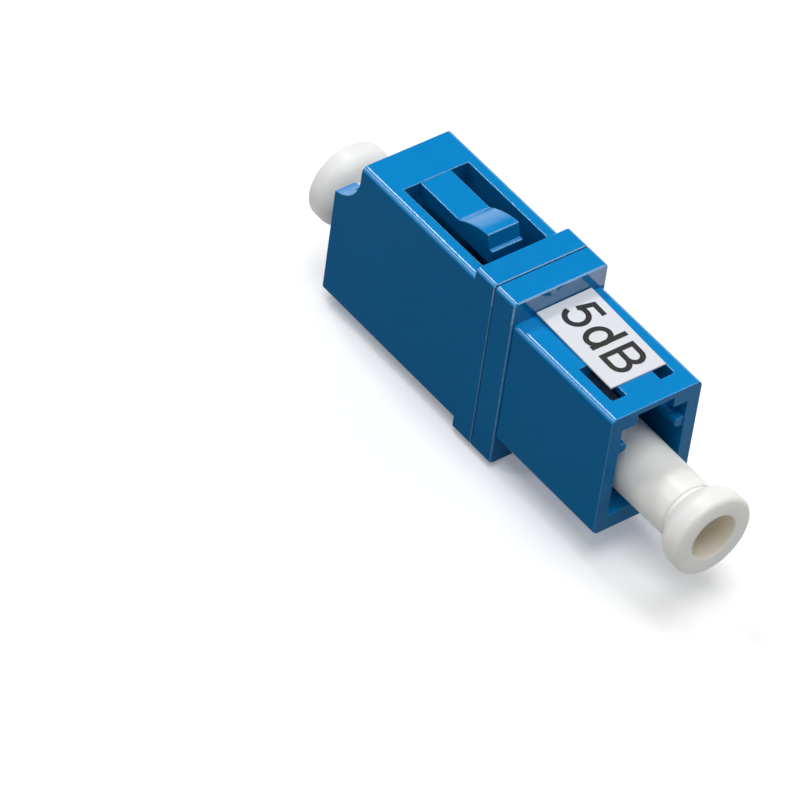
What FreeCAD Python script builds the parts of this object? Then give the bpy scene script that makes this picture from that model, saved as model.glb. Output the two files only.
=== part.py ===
# Fibre optic attenuator in its port-to-port form: two moulded halves welded at a collar, a split sleeve
# with an absorbing ferrule stub inside, a dust cap in each port, two sprung panel latches and a paper
# rating label. X runs along the optical axis from the rear half to the front half, Z is up (the keyway
# side of both ports), and the origin is on that axis in the plane of the collar's seam. Sizes are in mm.
import FreeCAD, Part
import math
import os

import Sketcher

SIZES = (
    ("port_width", 4.56, "side of the square port that takes the plug's body"),
    ("rib_depth", 0.58, "how far the port's guide ribs stand in from its sides"),
    ("rib_height", 0.68, "height of the guide ribs"),
    ("rib_round", 0.3, "round on the nose of the guide ribs"),
    ("rib_setback", 0.1, "front end to the start of the front port's ribs"),
    ("lug_slot_height", 1.2, "height of the slots above the ribs, where the plug's lugs run"),
    ("channel_width", 2.56, "width of the channel for the plug's latch arm"),
    ("channel_height", 0.72, "height of that channel above the lug slots"),
    ("relief_depth", 0.36, "depth of the reliefs low in the rear port's sides"),
    ("relief_height", 1.25, "height of those reliefs"),
    ("web_depth", 1.5, "seam to the floor of each port"),
    ("side_wall", 0.87, "thickness of the side walls of both halves"),
    ("rear_roof", 1.17, "wall above the rear port"),
    ("rear_floor", 2.57, "wall below the rear port"),
    ("front_roof", 0.42, "wall above the front port"),
    ("front_floor", 1.12, "wall below the front port"),
    ("rear_length", 14.1, "seam to the outer end of the rear half"),
    ("front_length", 10.55, "seam to the outer end of the front half"),
    ("edge_round", 0.38, "round on the long edges of both halves"),
    ("collar_side_step", 0.15, "how far the collar stands out at the sides"),
    ("collar_top_step", 0.8, "how far it stands above the rear half"),
    ("collar_bottom_step", 0.45, "how far it stands below the rear half"),
    ("rear_band", 1.7, "thickness of the rear half's band of the collar"),
    ("front_band", 1.8, "thickness of the front half's band of the collar"),
    ("collar_round", 0.3, "round on the collar's edges along the axis"),
    ("band_edge", 0.08, "bevel round the outer face of each band"),
    ("seam_bevel", 0.05, "bevel round each band at the welded seam"),
    ("lug_window_inset", 0.11, "side of the port to a front window that the plug's lug springs into"),
    ("lug_window_width", 0.96, "width of the lug windows"),
    ("lug_window_length", 2.9, "length of the lug windows"),
    ("lug_window_land", 1.3, "front end to the lug windows"),
    ("lug_window_round", 0.2, "round in the lug windows' outer front corners"),
    ("cut_back", 2.0, "how far the rear half's upper wall stands back from its outer end"),
    ("scoop_radius", 2.4, "radius of the scoop where that step runs down the side walls"),
    ("scoop_drop", 0.95, "upper face to the centre of the scoop"),
    ("window_inset", 0.03, "side of the port to the side of a panel latch's window"),
    ("window_length", 7.75, "collar to the root end of those windows"),
    ("pocket_floor", 0.6, "wall left between the lower window and the port"),
    ("panel_gap", 1.2, "latch to collar, where the panel's edge sits"),
    ("latch_width", 2.16, "width of a panel latch"),
    ("latch_thickness", 0.95, "thickness of a panel latch at its root"),
    ("latch_recess", 0.06, "how far a latch lies below the face around it"),
    ("latch_rise", 0.86, "height of the latch's ramp"),
    ("latch_ramp", 2.5, "length of the ramp"),
    ("latch_ramp_radius", 5.4, "radius of the ramp's crown"),
    ("latch_foot", 0.3, "how far the ramp's end face comes forward at its foot"),
    ("latch_lip", 0.25, "depth of the lip at that foot"),
    ("latch_crest_round", 0.08, "round along the ramp's crest and the lip"),
    ("ferrule_diameter", 1.25, "outside of the stub and bore of the sleeve"),
    ("stub_length", 2.0, "length of the ferrule stub"),
    ("stub_bevel", 0.12, "bevel at the stub's ends"),
    ("fibre_diameter", 0.125, "outside of the glass fibre"),
    ("sleeve_wall", 0.185, "wall of the split sleeve"),
    ("sleeve_length", 6.8, "length of the split sleeve"),
    ("sleeve_slot", 0.3, "width of the sleeve's slot"),
    ("sleeve_play", 0.02, "radial play of the sleeve in the barrel, and its end play"),
    ("barrel_wall", 0.62, "wall of the barrel that holds the sleeve"),
    ("barrel_lip", 0.5, "thickness of the barrel's end wall"),
    ("entry_play", 0.09, "radial play of a plug's ferrule where the funnel in that wall is narrowest"),
    ("entry_flare", 0.3, "how much wider the funnel is at its mouth, on the radius"),
    ("cap_grip_play", 0.03, "radial play of a cap on its barrel"),
    ("cap_grip_depth", 2.4, "depth of the cap's bore over the barrel"),
    ("cap_wall", 0.43, "wall of a cap's tube over the barrel"),
    ("cap_web", 2.0, "wall between the cap's bore and the hole in its head"),
    ("front_cap_standoff", 0.8, "port floor to the inner end of the front cap"),
    ("rear_cap_standoff", 1.3, "port floor to the inner end of the rear cap"),
    ("tube_narrowing", 0.14, "how much thinner the tube is where it meets the neck"),
    ("tube_length", 11.9, "length of the tube"),
    ("tube_bevel", 0.2, "bevel at the tube's inner end"),
    ("neck_groove", 0.14, "depth of the neck between tube and head"),
    ("neck_length", 0.22, "length of the neck"),
    ("neck_wall", 0.23, "wall between the neck and the hole in the head"),
    ("head_flange", 0.72, "how far the cap's head stands out from its tube"),
    ("head_flare", 1.15, "length of the head's flared back"),
    ("head_flare_radius", 1.6, "radius of that flare"),
    ("head_rim", 0.95, "length of the head's rim"),
    ("rim_round", 0.28, "round on the rim's outer edge"),
    ("cap_hole_inset", 0.15, "how far the wall of the head's hole leans in by its floor"),
    ("label_width", 3.82, "width of the rating label"),
    ("label_length", 6.66, "length of the rating label"),
    ("label_thickness", 0.1, "thickness of the rating label"),
    ("label_gap", 0.06, "collar to the label"),
    ("label_shift", 0.26, "how far the label sits off the middle"),
    ("label_turn", -0.4, "how far the label was stuck on out of square, in degrees"),
    ("cut_margin", 1.0, "how far a cut reaches past what it cuts"),
)

FOLLOWING = (
    ("body_width", "port_width + 2 * side_wall", "width of both halves"),
    ("rib_top", "port_width / 2 + rib_height", "axis to the top of the guide ribs"),
    ("slot_top", "rib_top + lug_slot_height", "axis to the top of the lug slots"),
    ("channel_top", "slot_top + channel_height", "axis to the top of the latch channel"),
    ("rear_top", "channel_top + rear_roof", "axis to the rear half's upper face"),
    ("rear_bottom", "port_width / 2 + rear_floor", "axis to the rear half's lower face"),
    ("front_top", "channel_top + front_roof", "axis to the front half's upper face"),
    ("front_bottom", "port_width / 2 + front_floor", "axis to the front half's lower face"),
    ("collar_width", "body_width + 2 * collar_side_step", "width of the collar"),
    ("collar_top", "rear_top + collar_top_step", "axis to the collar's upper face"),
    ("collar_bottom", "rear_bottom + collar_bottom_step", "axis to the collar's lower face"),
    ("window_width", "port_width - 2 * window_inset", "width of the windows round the panel latches"),
    ("sleeve_diameter", "ferrule_diameter + 2 * sleeve_wall", "outside of the split sleeve"),
    ("seat_diameter", "sleeve_diameter + 2 * sleeve_play", "bore of the barrel"),
    ("barrel_diameter", "seat_diameter + 2 * barrel_wall", "outside of the barrel"),
    ("seat_end", "sleeve_length / 2 + sleeve_play", "seam to the end of the sleeve's seat"),
    ("barrel_end", "seat_end + barrel_lip", "seam to the end of the barrel"),
    ("grip_diameter", "barrel_diameter + 2 * cap_grip_play", "bore of a cap over its barrel"),
    ("tube_diameter", "grip_diameter + 2 * cap_wall", "outside of the tube at its inner end"),
    ("tube_outer_diameter", "tube_diameter - tube_narrowing", "outside of the tube at the neck"),
    ("neck_diameter", "tube_outer_diameter - 2 * neck_groove", "outside of the neck"),
    ("cap_hole_diameter", "neck_diameter - 2 * neck_wall", "hole in the head"),
    ("head_diameter", "tube_diameter + 2 * head_flange", "outside of the cap's head"),
)

X_WAY = FreeCAD.Vector(1, 0, 0)
Y_WAY = FreeCAD.Vector(0, 1, 0)
UP = FreeCAD.Vector(0, 0, 1)
NEAR = 1e-4
PORT_HALF = "Sizes.port_width / 2"
ROOT_X = "-(Sizes.rear_band + Sizes.window_length)"

doc = FreeCAD.newDocument("attenuator")


def make_sheet():
    """The driving sizes, and below them those that follow from them, one row each with its alias"""
    sheet = doc.addObject("Spreadsheet::Sheet", "Sizes")
    following = [(alias, f"={formula}", meaning) for alias, formula, meaning in FOLLOWING]
    for row, (alias, value, meaning) in enumerate([*SIZES, *following], start=1):
        sheet.set(f"A{row}", meaning)
        sheet.set(f"B{row}", str(value))
        sheet.setAlias(f"B{row}", alias)
    doc.recompute()
    return sheet


sheet = make_sheet()


def of_size(expression):
    """A size, or a sum of sizes, as a number"""
    return float(sheet.evalExpression(expression.replace("Sizes.", "")))


def new_body(label):
    body = doc.addObject("PartDesign::Body", label)
    body.Label = label
    return body


def new_sketch(body, plane, name, offset=None):
    """An empty sketch on one of the body's own planes, moved along the plane's normal by offset"""
    sketch = body.newObject("Sketcher::SketchObject", name)
    support = next(item for item in body.Origin.OriginFeatures if item.Role == plane)
    sketch.AttachmentSupport = [(support, "")]
    sketch.MapMode = "FlatFace"
    if offset:
        sketch.setExpression("AttachmentOffset.Base.z", offset)
    return sketch


def constrain(sketch, kind, *parts, size=None):
    """Adds a constraint, and ties it to a size if it has one"""
    if size is None:
        sketch.addConstraint(Sketcher.Constraint(kind, *parts))
        return
    index = sketch.addConstraint(Sketcher.Constraint(kind, *parts, of_size(size)))
    sketch.setExpression(f"Constraints[{index}]", size)


def arc_between(first, last, radius, turns_left):
    """The short arc from first to last, which turns to the left or the right"""
    chord = last - first
    rise = math.sqrt(max(radius ** 2 - (chord.Length / 2) ** 2, 0))
    side = FreeCAD.Vector(-chord.y, chord.x, 0).normalize()
    middle = (first + last) / 2 + (side * rise if turns_left else -side * rise)
    angles = [math.atan2(end.y - middle.y, end.x - middle.x) for end in (first, last)]
    if not turns_left:
        angles.reverse()
    return Part.ArcOfCircle(Part.Circle(middle, UP, radius), *angles)


def draw_outline(sketch, corners, arcs=None):
    """A closed outline through pairs of expressions; arcs gives a side's radius and if it turns left"""
    # In a sketch, 1 is an edge's start and 2 its end, and an arc always turns left from its start.
    arcs = arcs or {}
    points = [FreeCAD.Vector(of_size(across), of_size(up), 0) for across, up in corners]
    first_side = sketch.GeometryCount
    ends = []
    for side, point in enumerate(points):
        following = points[(side + 1) % len(points)]
        radius, turns_left = arcs.get(side, (None, True))
        ends.append((1, 2) if turns_left else (2, 1))
        if radius:
            sketch.addGeometry(arc_between(point, following, of_size(radius), turns_left))
        else:
            sketch.addGeometry(Part.LineSegment(point, following))
    for side, (across, up) in enumerate(corners):
        here = (first_side + side, ends[side][0])
        before = (side - 1) % len(corners)
        constrain(sketch, "Coincident", first_side + before, ends[before][1], *here)
        if side in arcs:
            constrain(sketch, "Radius", first_side + side, size=arcs[side][0])
        place_point(sketch, here, across, up)


def place_point(sketch, point, across, up):
    """Ties a point to the sketch's origin, or to an axis where its distance is nothing"""
    for kind, distance, axis in (("DistanceX", across, -2), ("DistanceY", up, -1)):
        if distance == "0":
            constrain(sketch, "PointOnObject", *point, axis)
        else:
            constrain(sketch, kind, -1, 1, *point, size=distance)


def draw_rectangle(sketch, left, right, low, high):
    draw_outline(sketch, [(left, low), (right, low), (right, high), (left, high)])


def draw_rings(sketch, *diameters):
    """Circles about the sketch's origin"""
    for diameter in diameters:
        index = sketch.addGeometry(Part.Circle(FreeCAD.Vector(), UP, of_size(diameter) / 2))
        constrain(sketch, "Coincident", index, 3, -1, 1)
        constrain(sketch, "Diameter", index, size=diameter)


def extrude(body, kind, sketch, length, reverse=False, both_ways=False):
    """Pads or pockets a sketch, and makes sure that the solid grew or shrank"""
    volume_before = body.Shape.Volume if body.Tip and body.Tip != sketch else 0
    feature = body.newObject(f"PartDesign::{kind}", f"{sketch.Name}_{kind}")
    feature.Profile = sketch
    feature.setExpression("Length", length)
    feature.Reversed = reverse
    if both_ways:
        feature.SideType = "Symmetric"
    doc.recompute()
    grew = body.Shape.Volume > volume_before + NEAR
    shrank = body.Shape.Volume < volume_before - NEAR
    if not (grew if kind == "Pad" else shrank):
        raise RuntimeError(f"{feature.Name} in {body.Label} points away from the solid")


def turn_profile(body, kind, sketch):
    """Revolves a sketch about the optical axis, as material or as a cut"""
    volume_before = body.Shape.Volume if kind == "Groove" else 0
    feature = body.newObject(f"PartDesign::{kind}", f"{sketch.Name}_{kind}")
    feature.Profile = sketch
    feature.ReferenceAxis = (sketch, ["H_Axis"])
    feature.Angle = 360
    doc.recompute()
    if kind == "Groove" and body.Shape.Volume > volume_before - NEAR:
        raise RuntimeError(f"{feature.Name} in {body.Label} cuts nothing")


def is_along(edge, way):
    return isinstance(edge.Curve, Part.Line) and abs(edge.Curve.Direction.dot(way)) > 1 - NEAR


def is_at(value, expression):
    return abs(value - of_size(expression)) < NEAR


def dress_edges(body, kind, name, size, wanted):
    """Rounds or bevels the edges of the body's present shape that wanted picks out"""
    base = body.Tip
    picked = [f"Edge{index}" for index, edge in enumerate(base.Shape.Edges, start=1) if wanted(edge)]
    if not picked:
        raise RuntimeError(f"{name} in {body.Label} finds no edge")
    feature = body.newObject(f"PartDesign::{kind}", name)
    feature.Base = (base, picked)
    feature.setExpression("Radius" if kind == "Fillet" else "Size", size)
    doc.recompute()


def add_block(body, name, way, width, low, high, length, round_size):
    """A bar with rounded long edges that runs out from the seam"""
    sketch = new_sketch(body, "YZ_Plane", name)
    draw_rectangle(sketch, f"-{width} / 2", f"{width} / 2", f"-{low}", high)
    extrude(body, "Pad", sketch, length, reverse=way == "-")

    def long_corner(edge):
        place = edge.CenterOfMass
        at_side = is_at(abs(place.y), f"{width} / 2")
        return is_along(edge, X_WAY) and at_side and (is_at(place.z, high) or is_at(place.z, f"-{low}"))

    dress_edges(body, "Fillet", f"{name}_round", round_size, long_corner)


def bevel_collar(body, way, band):
    """The fine bevels round a band's outer face and along the welded seam"""
    side = of_size("Sizes.body_width / 2") + NEAR

    def on_rim(edge, station):
        box = edge.BoundBox
        in_plane = is_at(box.XMin, f"{way}({station})") and is_at(box.XMax, f"{way}({station})")
        return in_plane and (box.YMax > side or box.YMin < -side)

    dress_edges(body, "Chamfer", "band_bevel", "Sizes.band_edge", lambda edge: on_rim(edge, band))
    dress_edges(body, "Chamfer", "seam_edge", "Sizes.seam_bevel", lambda edge: on_rim(edge, "0"))


def cut_port(body, way, length):
    """The keyed port: a square for the plug, guide ribs, lug slots above them and a latch channel on top"""
    sketch = new_sketch(body, "YZ_Plane", "port", f"{way}({length})")
    nose = f"({PORT_HALF} - Sizes.rib_depth)"
    channel = "Sizes.channel_width / 2"
    right_side = [
        (PORT_HALF, f"-{PORT_HALF}"),
        (PORT_HALF, PORT_HALF),
        (nose, PORT_HALF),
        (nose, "Sizes.rib_top"),
        (PORT_HALF, "Sizes.rib_top"),
        (PORT_HALF, "Sizes.slot_top"),
        (channel, "Sizes.slot_top"),
        (channel, "Sizes.channel_top"),
    ]
    left_side = [(f"-{across}", up) for across, up in reversed(right_side)]
    draw_outline(sketch, right_side + left_side)
    extrude(body, "Pocket", sketch, f"{length} - Sizes.web_depth", reverse=way == "-")

    def rib_nose(edge):
        return is_along(edge, X_WAY) and is_at(abs(edge.CenterOfMass.y), nose) and edge.CenterOfMass.z > 0

    dress_edges(body, "Fillet", "rib_nose", "Sizes.rib_round", rib_nose)


def add_barrel(body, way):
    """The barrel on the port floor, with the sleeve's seat and the funnel that a ferrule goes in by"""
    barrel = new_sketch(body, "YZ_Plane", "barrel", f"{way}Sizes.web_depth")
    draw_rings(barrel, "Sizes.barrel_diameter")
    extrude(body, "Pad", barrel, "Sizes.barrel_end - Sizes.web_depth", reverse=way == "-")
    seat = new_sketch(body, "XZ_Plane", "sleeve_seat")
    throat = "Sizes.ferrule_diameter / 2 + Sizes.entry_play"
    corners = [
        ("0", "0"),
        (f"{way}Sizes.barrel_end", "0"),
        (f"{way}Sizes.barrel_end", f"{throat} + Sizes.entry_flare"),
        (f"{way}Sizes.seat_end", throat),
        (f"{way}Sizes.seat_end", "Sizes.seat_diameter / 2"),
        ("0", "Sizes.seat_diameter / 2"),
    ]
    draw_outline(seat, corners)
    turn_profile(body, "Groove", seat)


def make_half(label, way, length, top, bottom, band):
    """What both moulded halves share: nose, band of the collar, port and barrel"""
    body = new_body(label)
    add_block(body, "nose", way, "Sizes.body_width", bottom, top, length, "Sizes.edge_round")
    collar = ("Sizes.collar_width", "Sizes.collar_bottom", "Sizes.collar_top")
    add_block(body, "band", way, *collar, band, "Sizes.collar_round")
    bevel_collar(body, way, band)
    cut_port(body, way, length)
    add_barrel(body, way)
    return body


def cut_scoop(body):
    """The rear half's upper wall stands back, and the step runs down the side walls in a round scoop"""
    face = "-(Sizes.rear_length - Sizes.cut_back)"
    outside = "-(Sizes.rear_length + Sizes.scoop_radius)"
    centre = "Sizes.rear_top - Sizes.scoop_drop"
    above = "Sizes.rear_top + Sizes.cut_margin"
    sketch = new_sketch(body, "XZ_Plane", "scoop")
    corners = [
        (face, above),
        (face, centre),
        (f"{face} - Sizes.scoop_radius", f"{centre} - Sizes.scoop_radius"),
        (outside, f"{centre} - Sizes.scoop_radius"),
        (outside, above),
    ]
    draw_outline(sketch, corners, arcs={1: ("Sizes.scoop_radius", False)})
    extrude(body, "Pocket", sketch, "Sizes.body_width + Sizes.cut_margin", both_ways=True)


def cut_reliefs(body):
    """Shallow reliefs low in the sides of the rear port"""
    sketch = new_sketch(body, "YZ_Plane", "relief", "-Sizes.rear_length")
    half = f"({PORT_HALF} + Sizes.relief_depth)"
    draw_rectangle(sketch, f"-{half}", half, f"-{PORT_HALF}", f"Sizes.relief_height - {PORT_HALF}")
    extrude(body, "Pocket", sketch, "Sizes.rear_length - Sizes.barrel_end", reverse=True)


def cut_latch_window(body, name, face, depth, from_below):
    """A window round a panel latch, from its root to the collar"""
    sketch = new_sketch(body, "XY_Plane", name, face)
    half = "Sizes.window_width / 2"
    draw_rectangle(sketch, ROOT_X, "-Sizes.rear_band", f"-{half}", half)
    extrude(body, "Pocket", sketch, depth, reverse=from_below)


def make_rear_housing():
    faces = ("Sizes.rear_top", "Sizes.rear_bottom")
    body = make_half("rear_housing", "-", "Sizes.rear_length", *faces, "Sizes.rear_band")
    cut_reliefs(body)
    cut_scoop(body)
    upper_depth = "Sizes.rear_top - Sizes.slot_top"
    lower_depth = "Sizes.rear_floor - Sizes.pocket_floor"
    cut_latch_window(body, "upper_window", "Sizes.rear_top", upper_depth, from_below=False)
    cut_latch_window(body, "lower_window", "-Sizes.rear_bottom", lower_depth, from_below=True)


def cut_rib_setback(body):
    """The front port's ribs start a little way in from its mouth"""
    sketch = new_sketch(body, "YZ_Plane", "rib_end", "Sizes.front_length")
    draw_rectangle(sketch, f"-{PORT_HALF}", PORT_HALF, PORT_HALF, "Sizes.rib_top")
    extrude(body, "Pocket", sketch, "Sizes.rib_setback")


def cut_lug_windows(body):
    """Two windows through the upper wall, where the lugs of a plug's latch spring up"""
    sketch = new_sketch(body, "XY_Plane", "lug_windows", "Sizes.front_top")
    ahead = "Sizes.front_length - Sizes.lug_window_land"
    behind = f"{ahead} - Sizes.lug_window_length"
    outer = f"({PORT_HALF} - Sizes.lug_window_inset)"
    inner = f"({outer} - Sizes.lug_window_width)"
    for side in ("", "-"):
        draw_rectangle(sketch, behind, ahead, f"{side}{inner}", f"{side}{outer}")
    extrude(body, "Pocket", sketch, "Sizes.front_top - Sizes.slot_top")

    def front_corner(edge):
        place = edge.CenterOfMass
        return is_along(edge, UP) and is_at(place.x, ahead) and is_at(abs(place.y), outer)

    dress_edges(body, "Fillet", "lug_window_corner", "Sizes.lug_window_round", front_corner)


def make_front_housing():
    faces = ("Sizes.front_top", "Sizes.front_bottom")
    body = make_half("front_housing", "", "Sizes.front_length", *faces, "Sizes.front_band")
    cut_rib_setback(body)
    cut_lug_windows(body)


def make_panel_latch(label, way, face):
    """A sprung tongue: flat from its root, then a crowned ramp with a leaning end face and a small lip"""
    body = new_body(label)
    sketch = new_sketch(body, "XZ_Plane", "latch")
    lip = "-(Sizes.rear_band + Sizes.panel_gap)"
    foot = f"{lip} - Sizes.latch_lip"
    crest = f"{foot} - Sizes.latch_foot"
    outer = f"{face} - Sizes.latch_recess"
    inner = f"{outer} - Sizes.latch_thickness"
    side = [
        (ROOT_X, inner),
        (lip, inner),
        (lip, outer),
        (foot, outer),
        (crest, f"{outer} + Sizes.latch_rise"),
        (f"{crest} - Sizes.latch_ramp", outer),
        (ROOT_X, outer),
    ]
    corners = [(along, f"{way}({height})") for along, height in side]
    draw_outline(sketch, corners, arcs={4: ("Sizes.latch_ramp_radius", way == "")})
    extrude(body, "Pad", sketch, "Sizes.latch_width", both_ways=True)

    def crest_or_lip(edge):
        place = edge.CenterOfMass
        at_crest = is_at(place.x, crest)
        at_lip = is_at(place.x, lip) and is_at(place.z, f"{way}({outer})")
        return is_along(edge, Y_WAY) and (at_crest or at_lip)

    dress_edges(body, "Fillet", "crest_round", "Sizes.latch_crest_round", crest_or_lip)


def make_split_sleeve():
    body = new_body("split_sleeve")
    ring = new_sketch(body, "YZ_Plane", "ring")
    draw_rings(ring, "Sizes.sleeve_diameter", "Sizes.ferrule_diameter")
    extrude(body, "Pad", ring, "Sizes.sleeve_length", both_ways=True)
    slot = new_sketch(body, "YZ_Plane", "slot")
    draw_rectangle(slot, "-Sizes.sleeve_slot / 2", "Sizes.sleeve_slot / 2", "0", "Sizes.sleeve_diameter")
    extrude(body, "Pocket", slot, "Sizes.sleeve_length + Sizes.cut_margin", both_ways=True)


def make_ferrule_stub():
    """A ground zirconia cylinder, bevelled at both ends and bored for the fibre"""
    body = new_body("ferrule_stub")
    sketch = new_sketch(body, "XZ_Plane", "stub")
    half = "Sizes.stub_length / 2"
    bore = "Sizes.fibre_diameter / 2"
    outside = "Sizes.ferrule_diameter / 2"
    right_side = [
        (half, bore),
        (half, f"{outside} - Sizes.stub_bevel"),
        (f"({half} - Sizes.stub_bevel)", outside),
    ]
    left_side = [(f"-{along}", radius) for along, radius in reversed(right_side)]
    draw_outline(sketch, right_side + left_side)
    turn_profile(body, "Revolution", sketch)


def make_fibre():
    fibre = doc.addObject("Part::Cylinder", "attenuating_fibre")
    fibre.Label = "attenuating_fibre"
    fibre.setExpression("Radius", "Sizes.fibre_diameter / 2")
    fibre.setExpression("Height", "Sizes.stub_length")
    fibre.Placement.Rotation = FreeCAD.Rotation(Y_WAY, 90)
    fibre.setExpression("Placement.Base.x", "-Sizes.stub_length / 2")


def make_dust_cap(label, way, standoff):
    """A turned profile: tapered tube over the barrel, narrow neck, flared head and a blind hole"""
    body = new_body(label)
    inner = f"Sizes.web_depth + {standoff}"
    web = f"{inner} + Sizes.cap_grip_depth"
    neck = f"{inner} + Sizes.tube_length"
    flare = f"{neck} + Sizes.neck_length"
    rim = f"{flare} + Sizes.head_flare"
    face = f"{rim} + Sizes.head_rim"
    hole = "Sizes.cap_hole_diameter / 2"
    head = "Sizes.head_diameter / 2"
    tube = "Sizes.tube_diameter / 2"
    side = [
        (web, "0"),
        (web, "Sizes.grip_diameter / 2"),
        (inner, "Sizes.grip_diameter / 2"),
        (inner, f"{tube} - Sizes.tube_bevel"),
        (f"{inner} + Sizes.tube_bevel", tube),
        (neck, "Sizes.tube_outer_diameter / 2"),
        (neck, "Sizes.neck_diameter / 2"),
        (flare, "Sizes.neck_diameter / 2"),
        (rim, head),
        (f"{face} - Sizes.rim_round", head),
        (face, f"{head} - Sizes.rim_round"),
        (face, hole),
        (f"{web} + Sizes.cap_web", f"{hole} - Sizes.cap_hole_inset"),
        (f"{web} + Sizes.cap_web", "0"),
    ]
    corners = [(f"{way}({along})", radius) for along, radius in side]
    sketch = new_sketch(body, "XZ_Plane", "cap")
    turns_left = way == "-"
    arcs = {7: ("Sizes.head_flare_radius", turns_left), 9: ("Sizes.rim_round", turns_left)}
    draw_outline(sketch, corners, arcs)
    turn_profile(body, "Revolution", sketch)


def make_label():
    """A thin paper rectangle on the front half, stuck on a little off the middle and out of square"""
    body = new_body("rating_label")
    sketch = new_sketch(body, "XY_Plane", "label")
    length = "Sizes.label_length / 2"
    width = "Sizes.label_width / 2"
    draw_rectangle(sketch, f"-{length}", length, f"-{width}", width)
    extrude(body, "Pad", sketch, "Sizes.label_thickness")
    body.setExpression("Placement.Base.x", f"Sizes.front_band + Sizes.label_gap + {length}")
    body.setExpression("Placement.Base.y", "Sizes.label_shift")
    body.setExpression("Placement.Base.z", "Sizes.front_top")
    body.setExpression("Placement.Rotation.Angle", "Sizes.label_turn")


def write_pieces():
    """Checks every object and every piece's shape, then writes one file for each piece"""
    doc.recompute()
    for item in doc.Objects:
        if "Invalid" in item.State or "Error" in item.State:
            raise RuntimeError(f"{item.Name} failed: {item.State}")
    pieces = [item for item in doc.Objects if item.TypeId in ("PartDesign::Body", "Part::Cylinder")]
    for piece in pieces:
        if piece.Shape.isNull() or not piece.Shape.isValid() or len(piece.Shape.Solids) != 1:
            raise RuntimeError(f"{piece.Label} is not one valid solid")
    os.makedirs("parts", exist_ok=True)
    for piece in pieces:
        piece.Shape.exportStep(os.path.join("parts", f"{piece.Label}.step"))
        print(f"{piece.Label}: {piece.Shape.Volume:.2f} cubic mm")


make_rear_housing()
make_front_housing()
make_panel_latch("upper_panel_latch", "", "Sizes.rear_top")
make_panel_latch("lower_panel_latch", "-", "Sizes.rear_bottom")
make_split_sleeve()
make_ferrule_stub()
make_fibre()
make_dust_cap("rear_dust_cap", "-", "Sizes.rear_cap_standoff")
make_dust_cap("front_dust_cap", "", "Sizes.front_cap_standoff")
make_label()
write_pieces()
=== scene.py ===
"""Looks of a port-to-port fibre optic attenuator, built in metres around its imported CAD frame"""

import math

import bmesh
import bpy
from mathutils import Euler, Matrix, Vector


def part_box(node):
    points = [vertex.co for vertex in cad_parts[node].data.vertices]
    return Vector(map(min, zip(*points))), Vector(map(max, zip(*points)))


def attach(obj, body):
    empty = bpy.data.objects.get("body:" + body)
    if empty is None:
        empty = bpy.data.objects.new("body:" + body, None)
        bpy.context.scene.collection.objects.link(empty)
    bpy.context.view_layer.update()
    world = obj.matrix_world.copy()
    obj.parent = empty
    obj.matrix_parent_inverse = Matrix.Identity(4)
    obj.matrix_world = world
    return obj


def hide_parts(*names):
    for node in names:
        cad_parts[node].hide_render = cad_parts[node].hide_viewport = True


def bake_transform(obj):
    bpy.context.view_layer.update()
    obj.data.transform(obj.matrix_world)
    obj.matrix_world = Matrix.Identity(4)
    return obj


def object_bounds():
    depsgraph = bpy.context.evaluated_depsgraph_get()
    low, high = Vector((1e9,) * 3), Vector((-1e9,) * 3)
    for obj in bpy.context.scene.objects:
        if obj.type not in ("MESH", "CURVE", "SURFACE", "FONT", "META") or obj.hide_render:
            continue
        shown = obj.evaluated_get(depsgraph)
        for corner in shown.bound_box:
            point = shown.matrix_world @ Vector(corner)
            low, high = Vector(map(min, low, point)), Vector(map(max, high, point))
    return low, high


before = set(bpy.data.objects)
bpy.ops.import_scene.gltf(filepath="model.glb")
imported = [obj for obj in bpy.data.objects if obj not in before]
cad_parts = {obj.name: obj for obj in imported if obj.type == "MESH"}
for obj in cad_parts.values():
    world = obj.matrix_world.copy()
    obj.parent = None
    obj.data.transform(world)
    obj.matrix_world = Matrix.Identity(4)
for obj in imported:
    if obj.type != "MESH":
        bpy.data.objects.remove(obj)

bl_info = {
    "name": "Fibre Optic Attenuator",
    "version": (1, 0, 0),
    "blender": (4, 5, 0),
    "location": "View3D > Sidebar > Attenuator",
    "description": "Dresses the attenuator's welded halves, latches, dust caps, ferrule line and label",
    "category": "Object",
}

MM = 0.001
CAD_BOX = [list(corner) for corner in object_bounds()]

# Mesh work, in millimetres and radians
SAME_SPOT = 0.0005                        # corners closer than this are one
SAME_PLANE = math.radians(0.3)            # faces that turn less than this are one flat
SHARP_TURN = math.radians(50)             # edges that turn more than this get a soft break
SMOOTH_TURN = math.cos(math.radians(38))  # faces that turn less than this are shaded as one
WELD = 0.002                              # corners that the breaks leave closer than this are joined
SQUARE_ON = 0.99                          # share of a normal along an axis in a face square to it
OUTLINE_STEP = 0.25                       # OUTLINE_STEP = 0.25 # spacing of points along a latch

# Places on the part, in millimetres from the optical axis and from the seam
SEAM_BEVEL = 0.05                         # what the solids leave open along the weld
BARREL_REACH = 2.5                        # the barrel lies inside this radius and the weld's rim outside
FRONT_TOP = 5.3                           # the front half's upper face, above which its collar stands
HOLE_RADIUS = 1.5                         # mouth of the blind hole in a cap's head
HEAD_START, HEAD_FULL = 14.4, 15.0        # a cap's tube widens into its head between these
FINISH_EDGE = 0.1                         # width over which one finish turns into the next

# The label and its print, in millimetres
LABEL_STEPS = 20                          # stretches along the label, so that it can curve
LIFT_FALL = 1.2                           # power with which its rear lift dies away to the front
LIFT_SKEW = 0.3                           # how much more one side lifts than the other
FIRST_LETTER = (0.6, -1.01)               # foot of the first letter, from the rear edge and the middle
INK_LIFT = 0.006                          # height of the print above the paper
INK_LAYER = 0.001                         # height of each stroke above the one before

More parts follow.
